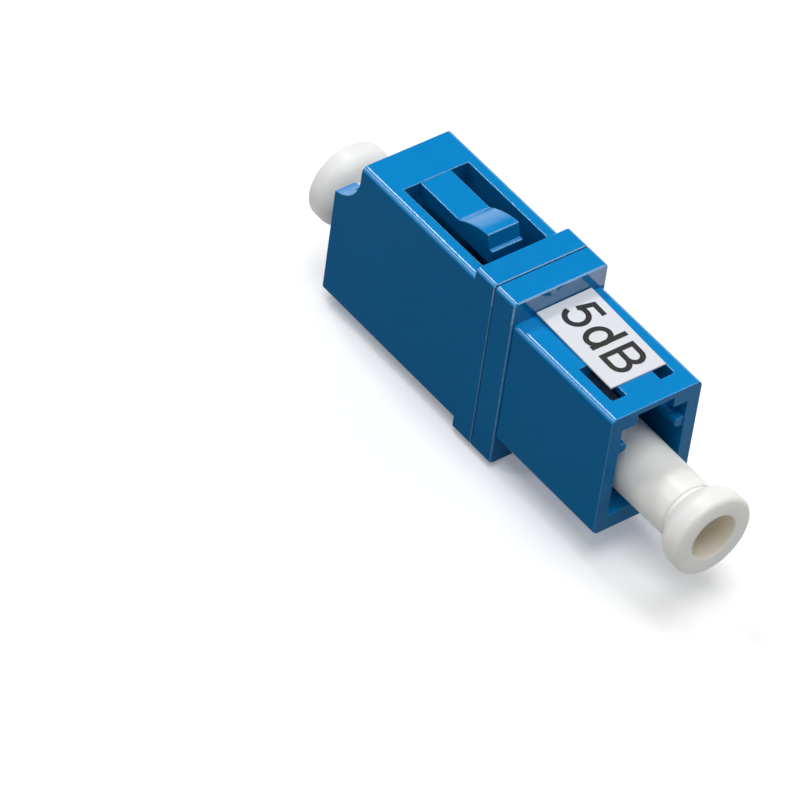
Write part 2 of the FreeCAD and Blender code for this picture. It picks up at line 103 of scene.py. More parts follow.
# The stage, in metres
DISH_FLAT, DISH_RISE = 0.7, 0.5           # radius of the sweep's flat, and of the round that it rises in
DISH_STEPS = 96
FLOOR_GAP = 0.02 * MM                     # keeps the paper off the part's lowest face
WHITE_FROM, WHITE_AT = 0.25, 0.7          # between these distances the paper turns white to the lens
LAMP_DISTANCE = 1.0
# Name, direction from the part, size along the part and across it, brightness
SOFTBOXES = (
    ("top_softbox", (0.15, -0.16, 0.975), (0.6, 0.6), 4.3),
    ("back_softbox", (0.0, 0.58, 0.81), (0.7, 0.2), 5.0),
    ("left_softbox", (-0.53, 0.05, 0.845), (0.13, 0.24), 27.0),
    ("left_reflector", (-0.531, -0.549, 0.646), (0.16, 0.34), 8.0),
    ("right_strip", (0.66, 0.49, 0.56), (0.34, 0.34), 2.2),
    ("camera_fill", (0.53, -0.49, 0.69), (0.6, 0.6), 0.6),
)


def arc(centre, radii, start, end, steps=24):
    """Points along part of an ellipse, between two angles in degrees"""
    angles = [math.radians(start + (end - start) * step / steps) for step in range(steps + 1)]
    return [(centre[0] + radii[0] * math.cos(a), centre[1] + radii[1] * math.sin(a)) for a in angles]


# How far each letter moves the pen on, and the middle lines of its strokes, for capitals of LETTER_HEIGHT
LETTER_HEIGHT = 2.4
LETTERS = {
    "5": (1.84, (
        [(1.44, 2.25), (0.49, 2.25), (0.25, 1.2)],
        arc((0.73, 0.85), (0.65, 0.68), 139, -169),
    )),
    "d": (1.92, (
        arc((0.74, 0.92), (0.575, 0.75), 0, 360),
        [(1.285, 0.0), (1.285, 2.48)],
    )),
    "B": (1.9, (
        [(0.17, 0.0), (0.17, 2.4)],
        [(0.17, 2.24)] + arc((0.92, 1.74), (0.535, 0.5), 90, -90) + [(0.17, 1.24)],
        [(0.17, 1.24)] + arc((0.97, 0.7), (0.6, 0.54), 90, -90) + [(0.17, 0.16)],
    )),
}


def linear(code):
    """Linear colour of an sRGB hex value"""
    channels = [int(code[place:place + 2], 16) / 255 for place in (1, 3, 5)]
    return [c / 12.92 if c <= 0.04045 else ((c + 0.055) / 1.055) ** 2.4 for c in channels]


def rgba(colour, lightness=1):
    """A linear colour for a node's socket, made deeper or lighter by a factor"""
    return [min(1, channel * lightness) for channel in colour] + [1]


def per_size(size):
    """Texture scale at which one feature of a pattern measures this many millimetres"""
    return 1 / (size * MM)


def add_node(tree, kind, settings=None, values=None, links=None):
    """Adds one shader node with its settings, its socket values and its links from other sockets"""
    node = tree.nodes.new(kind)
    for key, value in (settings or {}).items():
        setattr(node, key, value)
    for socket, value in (values or {}).items():
        node.inputs[socket].default_value = value
    for socket, source in (links or {}).items():
        tree.links.new(source, node.inputs[socket])
    return node


def new_material(name):
    """An empty node material and its tree"""
    material = bpy.data.materials.new(name)
    material.use_nodes = True
    material.node_tree.nodes.clear()
    return material, material.node_tree


class HousingSettings(bpy.types.PropertyGroup):
    """Sizes and finish of the moulded halves and their latches"""
    colour: bpy.props.FloatVectorProperty(
        name="Plastic colour", description="Colour of the moulded halves and latches",
        subtype="COLOR", min=0, max=1, default=linear("#0087CD"))
    # Partly real rub marks, partly a painted highlight: the rounds are lightened towards this colour in patches
    rub_and_highlight_colour: bpy.props.FloatVectorProperty(
        name="Rubbed colour", description="Colour of edges that handling has rubbed pale",
        subtype="COLOR", min=0, max=1, default=linear("#3FA2DA"))
    gloss_roughness: bpy.props.FloatProperty(
        name="Roughness", description="Roughness of the half-gloss mould finish",
        subtype="FACTOR", min=0, max=1, default=0.2)
    # Painted shade: the upright walls keep only this share of the colour's lightness, so that they look shaded
    # beside the tops
    painted_wall_shade: bpy.props.FloatProperty(
        name="Depth of walls", description="How much of the colour's lightness the upright walls keep",
        subtype="FACTOR", min=0, max=1, default=0.61)
    top_gloss: bpy.props.FloatProperty(
        name="Gloss of tops", description="Strength of reflections in the level faces and the rounds",
        subtype="FACTOR", min=0, max=1, default=0.5)
    end_gloss: bpy.props.FloatProperty(
        name="Gloss of ends", description="Strength of reflections in the faces across the optical axis",
        subtype="FACTOR", min=0, max=1, default=0.08)
    side_gloss: bpy.props.FloatProperty(
        name="Gloss of sides", description="Strength of reflections in the duller upright walls",
        subtype="FACTOR", min=0, max=1, default=0.015)
    edge_break: bpy.props.FloatProperty(
        name="Edge break", description="Width of the soft edge that moulding leaves on sharp corners",
        unit="LENGTH", precision=6, default=0.07 * MM)
    seam_width: bpy.props.FloatProperty(
        name="Seam width", description="Width of the groove along the weld",
        unit="LENGTH", precision=6, default=0.12 * MM)
    seam_depth: bpy.props.FloatProperty(
        name="Seam depth", description="Depth of the groove along the weld",
        unit="LENGTH", precision=6, default=0.15 * MM)


class CapSettings(bpy.types.PropertyGroup):
    """Size and finish of the dust caps"""
    colour: bpy.props.FloatVectorProperty(
        name="Plastic colour", description="Colour of the soft dust caps",
        subtype="COLOR", min=0, max=1, default=linear("#F6F6F1"))
    # Painted light: this cream stands for the glow that comes through the plastic into a head's blind hole
    painted_hole_glow_colour: bpy.props.FloatVectorProperty(
        name="Hole colour", description="Colour that the plastic takes on inside a head's blind hole",
        subtype="COLOR", min=0, max=1, default=linear("#FFF2E0"))
    satin_roughness: bpy.props.FloatProperty(
        name="Roughness", description="Roughness of the satin mould finish",
        subtype="FACTOR", min=0, max=1, default=0.42)
    edge_break: bpy.props.FloatProperty(
        name="Edge break", description="Width of the soft edge on the caps' sharp corners",
        unit="LENGTH", precision=6, default=0.1 * MM)


class LabelSettings(bpy.types.PropertyGroup):
    """Size, lie and finish of the label and its print"""
    paper_colour: bpy.props.FloatVectorProperty(
        name="Paper colour", description="Colour of the label paper",
        subtype="COLOR", min=0, max=1, default=linear("#DFE2E8"))
    paper_roughness: bpy.props.FloatProperty(
        name="Paper roughness", description="Roughness of the label paper's coating",
        subtype="FACTOR", min=0, max=1, default=0.5)
    ink_colour: bpy.props.FloatVectorProperty(
        name="Ink colour", description="Colour of the printed rating",
        subtype="COLOR", min=0, max=1, default=linear("#1B191C"))
    ink_roughness: bpy.props.FloatProperty(
        name="Ink roughness", description="Roughness of the printed rating",
        subtype="FACTOR", min=0, max=1, default=0.6)
    rating: bpy.props.StringProperty(
        name="Rating", description="Attenuation that is printed on the label", default="5dB")
    letter_height: bpy.props.FloatProperty(
        name="Letter height", description="Height of the capital letters",
        unit="LENGTH", precision=6, default=LETTER_HEIGHT * MM)
    stroke: bpy.props.FloatProperty(
        name="Stroke", description="Width of the letters' strokes",
        unit="LENGTH", precision=6, default=0.335 * MM)
    length: bpy.props.FloatProperty(
        name="Length", description="Length of the label along the optical axis",
        unit="LENGTH", precision=6, default=6.66 * MM)
    width: bpy.props.FloatProperty(
        name="Width", description="Width of the label across the housing",
        unit="LENGTH", precision=6, default=3.82 * MM)
    thickness: bpy.props.FloatProperty(
        name="Thickness", description="Thickness of the label",
        unit="LENGTH", precision=6, default=0.1 * MM)
    turn: bpy.props.FloatProperty(
        name="Turn", description="How far out of square the label is stuck on",
        subtype="ANGLE", default=math.radians(-0.4))
    rear_lift: bpy.props.FloatProperty(
        name="Rear lift", description="How far the label's rear edge stands up against the collar",
        unit="LENGTH", precision=6, default=0.21 * MM)


class StageSettings(bpy.types.PropertyGroup):
    """Floor, light and camera"""
    floor_colour: bpy.props.FloatVectorProperty(
        name="Floor colour", description="Colour of the paper sweep under the part",
        subtype="COLOR", min=0, max=1, default=linear("#FEFEFE"))
    floor_lift: bpy.props.FloatProperty(
        name="Floor lift", description="How far the lens sees the floor near the part lifted towards white",
        subtype="FACTOR", min=0, max=1, default=0.18)
    bounce_colour: bpy.props.FloatVectorProperty(
        name="Bounce colour", description="How much light the floor throws up at the part",
        subtype="COLOR", min=0, max=1, default=linear("#A8A8A8"))
    room_colour: bpy.props.FloatVectorProperty(
        name="Room colour", description="Even light from the walls of the room",
        subtype="COLOR", min=0, max=1, default=(0.04, 0.04, 0.04))
    light_level: bpy.props.FloatProperty(
        name="Light level", description="Brightness of all the softboxes together", default=1.0)
    camera_place: bpy.props.FloatVectorProperty(
        name="Camera place", description="Where the camera stands",
        subtype="TRANSLATION", unit="LENGTH", precision=6, default=(0.18831, -0.18406, 0.24512))
    camera_turn: bpy.props.FloatVectorProperty(
        name="Camera turn", description="Which way the camera looks",
        subtype="EULER", default=[math.radians(a) for a in (46.18447, -6.06923, 52.88372)])
    camera_lens: bpy.props.FloatProperty(
        name="Lens", description="Focal length on a 36 mm sensor, in millimetres", default=292.5)


SETTINGS = {
    "attenuator_housing": HousingSettings,
    "attenuator_caps": CapSettings,
    "attenuator_label": LabelSettings,
    "attenuator_stage": StageSettings,
}


def moulded_blue_pbt(settings):
    """PBT polyester, injection moulded in a polished tool"""
    # A half-gloss skin with faint flow clouding. Handling polishes the rounds, and their colour is lightened in
    # places:
    # partly real rub marks, partly a painted highlight along the rounds. The upright walls are duller, because
    # they drag along the tool as the part leaves it, and their colour is darkened as painted shade, so that
    # they look shaded beside the tops. The collar's front face parts from the tool squarely and keeps its
    # polish. Rub marks are a few hundredths of a millimetre wide, too fine to show, so they are drawn at 0.35
    # mm
    material, tree = new_material("moulded_blue_pbt")
    spot = add_node(tree, "ShaderNodeTexCoord").outputs
    height = add_node(tree, "ShaderNodeSeparateXYZ", links={"Vector": spot["Object"]}).outputs["Z"]
    ahead = add_node(tree, "ShaderNodeSeparateXYZ", links={"Vector": spot["Normal"]}).outputs["X"]
    flow = add_node(tree, "ShaderNodeTexNoise", values={"Scale": per_size(5), "Detail": 3},
                    links={"Vector": spot["Object"]})
    rub = add_node(tree, "ShaderNodeTexNoise", values={"Scale": per_size(0.35), "Detail": 6},
                   links={"Vector": spot["Object"]})

    # Where a face is a round, an upright wall or level
    facing = add_node(tree, "ShaderNodeVectorMath", {"operation": "ABSOLUTE"}, links={0: spot["Normal"]})
    ways = add_node(tree, "ShaderNodeSeparateXYZ", links={"Vector": facing.outputs["Vector"]}).outputs
    longest = add_node(tree, "ShaderNodeMath", {"operation": "MAXIMUM"}, links={0: ways["X"], 1: ways["Z"]})
    square = add_node(tree, "ShaderNodeMath", {"operation": "MAXIMUM"},
                      links={0: longest.outputs["Value"], 1: ways["Y"]})
    rounds = add_node(tree, "ShaderNodeMapRange", values={"From Min": 0.94, "From Max": 0.8},
                      links={"Value": square.outputs["Value"]})
    # Upright walls, whose colour gets painted shade below
    upright = add_node(tree, "ShaderNodeMapRange", values={"From Min": 0.7, "From Max": 0.2},
                       links={"Value": ways["Z"]})
    level = add_node(tree, "ShaderNodeMapRange", values={"From Min": 0.7, "From Max": 0.9},
                     links={"Value": ways["Z"]})

    clouding = add_node(tree, "ShaderNodeMix", {"data_type": "RGBA"},
                        values={"A": rgba(settings.colour, 0.93), "B": rgba(settings.colour, 1.06)},
                        links={"Factor": flow.outputs["Fac"]})
    # Painted shade: the colour of the upright walls is multiplied darker, so that they look shaded beside the
    # tops
    walls = add_node(tree, "ShaderNodeMix", {"data_type": "RGBA", "blend_type": "MULTIPLY"},
                     values={"B": rgba([settings.painted_wall_shade] * 3)},
                     links={"Factor": upright.outputs["Result"], "A": clouding.outputs["Result"]})
    # The rounds are lightened in patches: partly real wear, partly a painted highlight along the edges
    rubbed = add_node(tree, "ShaderNodeMapRange", values={"From Min": 0.45, "From Max": 0.75, "To Max": 0.5},
                      links={"Value": rub.outputs["Fac"]})
    rub_and_highlight = add_node(tree, "ShaderNodeMath", {"operation": "MULTIPLY"},
                    links={0: rubbed.outputs["Result"], 1: rounds.outputs["Result"]})
    colour = add_node(tree, "ShaderNodeMix", {"data_type": "RGBA"}, values={"B": rgba(settings.rub_and_highlight_colour)},
                      links={"Factor": rub_and_highlight.outputs["Value"], "A": walls.outputs["Result"]})

    raised = add_node(tree, "ShaderNodeMapRange",
                      values={"From Min": FRONT_TOP * MM, "From Max": (FRONT_TOP + FINISH_EDGE) * MM},
                      links={"Value": height})
    polished = add_node(tree, "ShaderNodeMath", {"operation": "MULTIPLY", "use_clamp": True},
                        links={0: raised.outputs["Result"], 1: ahead})
    dull = add_node(tree, "ShaderNodeMix", {"data_type": "FLOAT"}, links={"Factor": ways["X"]},
                    values={"A": settings.side_gloss, "B": settings.end_gloss})
    bright = add_node(tree, "ShaderNodeMath", {"operation": "MAXIMUM"},
                      links={0: level.outputs["Result"], 1: rounds.outputs["Result"]})
    gloss = add_node(tree, "ShaderNodeMix", {"data_type": "FLOAT"}, values={"B": settings.top_gloss},
                     links={"Factor": bright.outputs["Value"], "A": dull.outputs["Result"]})
    rough = add_node(tree, "ShaderNodeMapRange", links={"Value": rub.outputs["Fac"]}, values={
        "From Min": 0.3, "From Max": 0.7,
        "To Min": settings.gloss_roughness * 0.85, "To Max": settings.gloss_roughness * 1.2})
    skin = add_node(tree, "ShaderNodeBump", values={"Strength": 0.08, "Distance": 0.004 * MM},
                    links={"Height": rub.outputs["Fac"]})
    plastic = add_node(
        tree, "ShaderNodeBsdfPrincipled",
        values={"IOR": 1.5, "Coat Roughness": 0.08, "Coat IOR": 1.8},
        links={"Base Color": colour.outputs["Result"], "Specular IOR Level": gloss.outputs["Result"],
               "Roughness": rough.outputs["Result"], "Normal": skin.outputs["Normal"],
               "Coat Weight": polished.outputs["Value"]})
    add_node(tree, "ShaderNodeOutputMaterial", links={"Surface": plastic.outputs["BSDF"]})
    return material


def moulded_white_polyethylene(settings):
    """Low-density polyethylene, injection moulded"""
    # A waxy satin white with faint clouding. Light goes a little way into the thick heads, so that their shaded
    # sides stay soft. Inside their blind holes the colour is painted cream, as painted light for the glow that
    # comes through the plastic
    material, tree = new_material("moulded_white_polyethylene")
    where = add_node(tree, "ShaderNodeTexCoord").outputs["Object"]
    wax = add_node(tree, "ShaderNodeTexNoise", values={"Scale": per_size(1.8), "Detail": 4},
                   links={"Vector": where})
    clouding = add_node(tree, "ShaderNodeMix", {"data_type": "RGBA"}, links={"Factor": wax.outputs["Fac"]},
                        values={"A": rgba(settings.colour, 0.97), "B": rgba(settings.colour)})
    away = add_node(tree, "ShaderNodeVectorMath", {"operation": "MULTIPLY"}, values={1: (0, 1, 1)},
                    links={0: where})
    radius = add_node(tree, "ShaderNodeVectorMath", {"operation": "LENGTH"},
                      links={0: away.outputs["Vector"]})
    # Painted light: the inside of the hole is painted cream for the glow that comes through the plastic
    inside = add_node(tree, "ShaderNodeMapRange", links={"Value": radius.outputs["Value"]}, values={
        "From Min": (HOLE_RADIUS + FINISH_EDGE) * MM, "From Max": (HOLE_RADIUS - FINISH_EDGE) * MM})
    colour = add_node(tree, "ShaderNodeMix", {"data_type": "RGBA"}, values={"B": rgba(settings.painted_hole_glow_colour)},
                      links={"Factor": inside.outputs["Result"], "A": clouding.outputs["Result"]})
    ways = add_node(tree, "ShaderNodeSeparateXYZ", links={"Vector": where}).outputs
    along = add_node(tree, "ShaderNodeMath", {"operation": "ABSOLUTE"}, links={0: ways["X"]})
    depth = add_node(tree, "ShaderNodeMapRange",
                     values={"From Min": HEAD_START * MM, "From Max": HEAD_FULL * MM, "To Max": 0.6},
                     links={"Value": along.outputs["Value"]})
    rough = add_node(tree, "ShaderNodeMapRange", links={"Value": wax.outputs["Fac"]}, values={
        "To Min": settings.satin_roughness * 0.9, "To Max": settings.satin_roughness * 1.1})
    plastic = add_node(
        tree, "ShaderNodeBsdfPrincipled",
        values={"IOR": 1.51, "Subsurface Radius": (1.0, 0.82, 0.62), "Subsurface Scale": 1.6 * MM},
        links={"Base Color": colour.outputs["Result"], "Roughness": rough.outputs["Result"],
               "Subsurface Weight": depth.outputs["Result"]})
    add_node(tree, "ShaderNodeOutputMaterial", links={"Surface": plastic.outputs["BSDF"]})
    return material


def ground_zirconia():
    """Zirconia ceramic, ground and polished"""
    # A dense warm white with a bright gloss and faint rings from the grinding wheel. Real rings are a few
    # thousandths of a millimetre apart, too fine to show, so they are drawn 0.754 mm apart. A wave texture's
    # bands turn through 20 radians in each unit of length
    material, tree = new_material("ground_zirconia")
    where = add_node(tree, "ShaderNodeTexCoord").outputs["Object"]
    rings = add_node(tree, "ShaderNodeTexWave", {"bands_direction": "X"},
                     values={"Scale": per_size(0.754) * math.tau / 20, "Distortion": 1.5},
                     links={"Vector": where})
    rough = add_node(tree, "ShaderNodeMapRange", values={"To Min": 0.12, "To Max": 0.24},
                     links={"Value": rings.outputs["Fac"]})
    tint = add_node(tree, "ShaderNodeMix", {"data_type": "RGBA"}, links={"Factor": rings.outputs["Fac"]},
                    values={"A": rgba(linear("#EFEBE0")), "B": rgba(linear("#F4F1E8"))})
    ceramic = add_node(tree, "ShaderNodeBsdfPrincipled", values={"IOR": 2.1}, links={
        "Base Color": tint.outputs["Result"], "Roughness": rough.outputs["Result"]})
    add_node(tree, "ShaderNodeOutputMaterial", links={"Surface": ceramic.outputs["BSDF"]})
    return material


def doped_silica():
    """Silica glass fibre, drawn and doped with metal ions"""
    # Clear glass with a faint grey body and a trace of streaks along the draw, polished at its ends
    material, tree = new_material("doped_silica")
    where = add_node(tree, "ShaderNodeTexCoord").outputs["Object"]
    streak = add_node(tree, "ShaderNodeTexNoise", values={"Scale": per_size(0.05)}, links={"Vector": where})
    tint = add_node(tree, "ShaderNodeMix", {"data_type": "RGBA"}, links={"Factor": streak.outputs["Fac"]},
                    values={"A": rgba(linear("#C4CDD2")), "B": rgba(linear("#D8DFE2"))})
    glass = add_node(tree, "ShaderNodeBsdfPrincipled", links={"Base Color": tint.outputs["Result"]},
                     values={"IOR": 1.46, "Roughness": 0.04, "Transmission Weight": 0.7})
    add_node(tree, "ShaderNodeOutputMaterial", links={"Surface": glass.outputs["BSDF"]})
    return material


def printed_label(name, colour, roughness):
    """Coated label paper, or the ink that a ribbon printer melts on to it"""
    # Smooth but not shiny, with a tooth that breaks up the light. The real tooth is some hundredths of a
    # millimetre wide, too fine to show, so it is drawn at 0.18 mm
    material, tree = new_material(name)
    where = add_node(tree, "ShaderNodeTexCoord").outputs["Object"]
    tooth = add_node(tree, "ShaderNodeTexNoise", values={"Scale": per_size(0.18), "Detail": 5},
                     links={"Vector": where})
    tint = add_node(tree, "ShaderNodeMix", {"data_type": "RGBA"}, links={"Factor": tooth.outputs["Fac"]},
                    values={"A": rgba(colour, 0.95), "B": rgba(colour, 1.04)})
    skin = add_node(tree, "ShaderNodeBump", values={"Strength": 0.1, "Distance": 0.004 * MM},
                    links={"Height": tooth.outputs["Fac"]})
    coating = add_node(tree, "ShaderNodeBsdfPrincipled", values={"IOR": 1.48, "Roughness": roughness}, links={
        "Base Color": tint.outputs["Result"], "Normal": skin.outputs["Normal"]})
    add_node(tree, "ShaderNodeOutputMaterial", links={"Surface": coating.outputs["BSDF"]})
    return material


def paper_sweep(settings):
    """Uncoated white studio paper"""
    # Matt and almost even, so that it shows the part's soft shadow and nothing else. It throws less light up at
    # the part than the lens and reflections see, as a small sheet on a darker table does. They see it lifted a
    # little near the part, and white far off
    material, tree = new_material("paper_sweep")
    where = add_node(tree, "ShaderNodeTexCoord").outputs["Object"]
    pulp = add_node(tree, "ShaderNodeTexNoise", values={"Scale": per_size(0.6), "Detail": 4},
                    links={"Vector": where})
    tint = add_node(tree, "ShaderNodeMix", {"data_type": "RGBA"}, links={"Factor": pulp.outputs["Fac"]},
                    values={"A": rgba(settings.floor_colour, 0.985), "B": rgba(settings.floor_colour)})
    path = add_node(tree, "ShaderNodeLightPath").outputs
    mirrored = add_node(tree, "ShaderNodeMath", {"operation": "ADD"},
                        links={0: path["Is Glossy Ray"], 1: path["Is Transmission Ray"]})
    seen = add_node(tree, "ShaderNodeMath", {"operation": "ADD", "use_clamp": True},
                    links={0: path["Is Camera Ray"], 1: mirrored.outputs["Value"]})
    shown = add_node(tree, "ShaderNodeMix", {"data_type": "RGBA"}, values={"A": rgba(settings.bounce_colour)},
                     links={"Factor": seen.outputs["Value"], "B": tint.outputs["Result"]})
    away = add_node(tree, "ShaderNodeVectorMath", {"operation": "LENGTH"}, links={0: where})
    lift = add_node(tree, "ShaderNodeMapRange", links={"Value": away.outputs["Value"]}, values={
        "From Min": WHITE_FROM, "From Max": WHITE_AT, "To Min": settings.floor_lift})
    white = add_node(tree, "ShaderNodeMath", {"operation": "MULTIPLY"},
                     links={0: lift.outputs["Result"], 1: seen.outputs["Value"]})
    paper = add_node(tree, "ShaderNodeBsdfPrincipled",
                     values={"Roughness": 0.95, "Specular IOR Level": 0.1, "Emission Color": (1, 1, 1, 1)},
                     links={"Base Color": shown.outputs["Result"], "Emission Strength": white.outputs["Value"]})
    # Not a lamp: only the lens and reflections see it
    material.cycles.emission_sampling = "NONE"
    add_node(tree, "ShaderNodeOutputMaterial", links={"Surface": paper.outputs["BSDF"]})
    return material


def mesh_of(node):
    """A CAD node's mesh in millimetres, welded, with each flat face whole again"""
    shape = bmesh.new()
    shape.from_mesh(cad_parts[node].data)
    bmesh.ops.scale(shape, vec=Vector((1, 1, 1)) / MM, verts=shape.verts)
    bmesh.ops.remove_doubles(shape, verts=shape.verts, dist=SAME_SPOT)
    bmesh.ops.dissolve_limit(shape, angle_limit=SAME_PLANE, verts=shape.verts, edges=shape.edges)
    return shape


def joined_runs(edges):
    """Sorts edges into runs that hang together"""
    # A dict keeps the edges in order, so that each run of the script gives the same mesh
    left, runs = dict.fromkeys(edges), []
    while left:
        run, ends = [], [left.popitem()[0]]
        while ends:
            edge = ends.pop()
            run.append(edge)
            for other in [other for vert in edge.verts for other in vert.link_edges if other in left]:
                del left[other]
                ends.append(other)
        runs.append(run)
    return runs


def break_edges(shape, size):
    """Rounds the sharp outer edges of a mesh that is in millimetres"""
    def is_sharp(edge):
        return edge.is_manifold and edge.is_convex and edge.calc_face_angle() > SHARP_TURN

    def is_inner_rim(edge):
        ways = [face.normal for face in edge.link_faces]
        looks_down = min(way.z for way in ways) < -SQUARE_ON
        looks_aside = max(abs(way.y) for way in ways) > SQUARE_ON
        return edge.verts[0].co.z > 0 and looks_down and looks_aside

    # The upper windows' inner rims run within a hair of the port's walls, which leaves no room to round them
    edges = [edge for edge in shape.edges if is_sharp(edge) and not is_inner_rim(edge)]
    # Run by run, so that the narrowest spot of one run doesn't limit the others
    for run in joined_runs(edges):
        bmesh.ops.bevel(shape, geom=run, offset=size, offset_type="OFFSET", segments=3, profile=0.5,
                        affect="EDGES", clamp_overlap=True)
    bmesh.ops.remove_doubles(shape, verts=shape.verts, dist=WELD)


def beside(points, distance, closed):
    """A line of points moved sideways, to its left"""
    moved = []
    for place, here in enumerate(points):
        ways = []
        if closed or place > 0:
            ways.append((Vector(here) - Vector(points[place - 1])).normalized())
        if closed or place + 1 < len(points):
            ways.append((Vector(points[(place + 1) % len(points)]) - Vector(here)).normalized())
        first, last = ways[0], ways[-1]
        left = Vector((-first.y - last.y, first.x + last.x)) / (1 + first.dot(last))
        moved.append(Vector(here) + left * distance)
    return moved


def loft(shape, rings, closed=True):
    """Faces between rings of points that follow each other, with both ends capped if the rings are closed"""
    rows = [[shape.verts.new(point) for point in ring] for ring in rings]
    count = len(rows[0])
    for one, two in zip(rows, rows[1:]):
        for place in range(count if closed else count - 1):
            after = (place + 1) % count
            shape.faces.new((one[place], one[after], two[after], two[place]))
    if closed:
        shape.faces.new(rows[0])
        shape.faces.new(rows[-1])
    bmesh.ops.recalc_face_normals(shape, faces=shape.faces)


def side_outline(node):
    """A latch's outline from the side, counter-clockwise in X and Z, with closely spaced points"""
    shape = mesh_of(node)
    sides = [face for face in shape.faces if abs(face.normal.y) > SQUARE_ON]
    largest = max(sides, key=lambda face: face.calc_area())
    corners = [(vert.co.x, vert.co.z) for vert in largest.verts]
    shape.free()
    pairs = list(zip(corners, corners[1:] + corners[:1]))
    if sum(a[0] * b[1] - b[0] * a[1] for a, b in pairs) < 0:
        pairs = [(b, a) for a, b in reversed(pairs)]
    outline = []
    for (x, z), (next_x, next_z) in pairs:
        parts = math.ceil(math.dist((x, z), (next_x, next_z)) / OUTLINE_STEP)
        outline += [(x + (next_x - x) * part / parts, z + (next_z - z) * part / parts) for part in range(parts)]
    return outline


def even_normals(mesh):
    """Corner normals led by the largest of the faces that turn little, so that flats look flat"""
    around = {}
    for face in mesh.polygons:
        for vert in face.vertices:
            around.setdefault(vert, []).append(face)
    normals = []
    for face in mesh.polygons:
        for vert in face.vertices:
            near = [other for other in around[vert] if other.normal.dot(face.normal) > SMOOTH_TURN]
            normals.append(sum((other.normal * other.area ** 2 for other in near), Vector()).normalized())
    mesh.normals_split_custom_set(normals)


def smooth_object(name, shape, material):
    """An object with smooth shading from a mesh that is in metres"""
    for face in shape.faces:
        face.smooth = True
    mesh = bpy.data.meshes.new(name)
    shape.to_mesh(mesh)
    shape.free()
    mesh.materials.append(material)
    item = bpy.data.objects.new(name, mesh)
    bpy.context.scene.collection.objects.link(item)
    return item


def new_piece(name, shape, material):
    """A piece of the part from a mesh that is in millimetres"""
    bmesh.ops.scale(shape, vec=Vector((MM, MM, MM)), verts=shape.verts)
    piece = smooth_object(name, shape, material)
    even_normals(piece.data)
    return piece


def set_material(node, material):
    """Gives a CAD node that stays as it is its finish"""
    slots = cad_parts[node].material_slots
    if not slots:
        raise RuntimeError(f"{node} has no material slot")
    for slot in slots:
        slot.material = material


def open_seam(shape, width, depth):
    """Widens the front half's small bevel along the weld into a groove that stays dark"""
    rim = [vert for vert in shape.verts
           if vert.co.x < SEAM_BEVEL * 1.1 and vert.co.yz.length > BARREL_REACH]
    reach = max(abs(vert.co.y) for vert in rim)
    top, bottom = max(vert.co.z for vert in rim), min(vert.co.z for vert in rim)
    middle, height = (top + bottom) / 2, (top - bottom) / 2
    for vert in rim:
        if vert.co.x > SEAM_BEVEL / 2:
            vert.co.x = width
        else:
            vert.co.y *= 1 - depth / reach
            vert.co.z = middle + (vert.co.z - middle) * (1 - depth / height)


class ATTENUATOR_OT_housing(bpy.types.Operator):
    """Builds both welded halves from their CAD solids, with the soft edges of a moulding"""
    bl_idname = "attenuator.housing"
    bl_label = "Housing Halves"

    def execute(self, context):
        settings = context.scene.attenuator_housing
        plastic = moulded_blue_pbt(settings)
        for half in ("rear", "front"):
            shape = mesh_of(f"{half}_housing")
            if half == "front":
                open_seam(shape, settings.seam_width / MM, settings.seam_depth / MM)
            break_edges(shape, settings.edge_break / MM)
            piece = new_piece(f"{half}_half", shape, plastic)
            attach(piece, "housing")
            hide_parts(f"{half}_housing")
        return {"FINISHED"}


class ATTENUATOR_OT_panel_latches(bpy.types.Operator):
    """Builds the two sprung latches as fixed pieces, though on the real part they flex from their roots"""
    bl_idname = "attenuator.panel_latches"
    bl_label = "Panel Latches"

    def execute(self, context):
        size = context.scene.attenuator_housing.edge_break / MM
        plastic = bpy.data.materials["moulded_blue_pbt"]
        for side in ("upper", "lower"):
            node = f"{side}_panel_latch"
            low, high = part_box(node)
            outline = side_outline(node)
            # The outline is swept across the latch, and drawn in at both sides for their rounded edges
            rings = []
            for way, angles in ((-1, (0, 30, 60, 90)), (1, (90, 60, 30, 0))):
                for angle in map(math.radians, angles):
                    across = way * (high.y / MM - size * (1 - math.cos(angle)))
                    inset = size * (1 - math.sin(angle))
                    rings.append([(x, across, z) for x, z in beside(outline, inset, True)])
            shape = bmesh.new()
            loft(shape, rings)
            piece = new_piece(f"{side}_latch_tongue", shape, plastic)
            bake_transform(piece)
            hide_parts(node)
        return {"FINISHED"}


class ATTENUATOR_OT_dust_caps(bpy.types.Operator):
    """Builds both dust caps from their CAD solids, with soft edges in waxy plastic"""
    bl_idname = "attenuator.dust_caps"
    bl_label = "Dust Caps"

    def execute(self, context):
        settings = context.scene.attenuator_caps
        plastic = moulded_white_polyethylene(settings)
        for end in ("rear", "front"):
            shape = mesh_of(f"{end}_dust_cap")
            break_edges(shape, settings.edge_break / MM)
            piece = new_piece(f"{end}_cap_moulding", shape, plastic)
            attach(piece, f"{end}_cap")
            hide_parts(f"{end}_dust_cap")
        return {"FINISHED"}


class ATTENUATOR_OT_ferrule_line(bpy.types.Operator):
    """Gives the split sleeve, the ferrule stub and its fibre their finishes"""
    bl_idname = "attenuator.ferrule_line"
    bl_label = "Ferrule Line"

    def execute(self, context):
        ceramic = ground_zirconia()
        set_material("split_sleeve", ceramic)
        set_material("ferrule_stub", ceramic)
        set_material("attenuating_fibre", doped_silica())
        return {"FINISHED"}


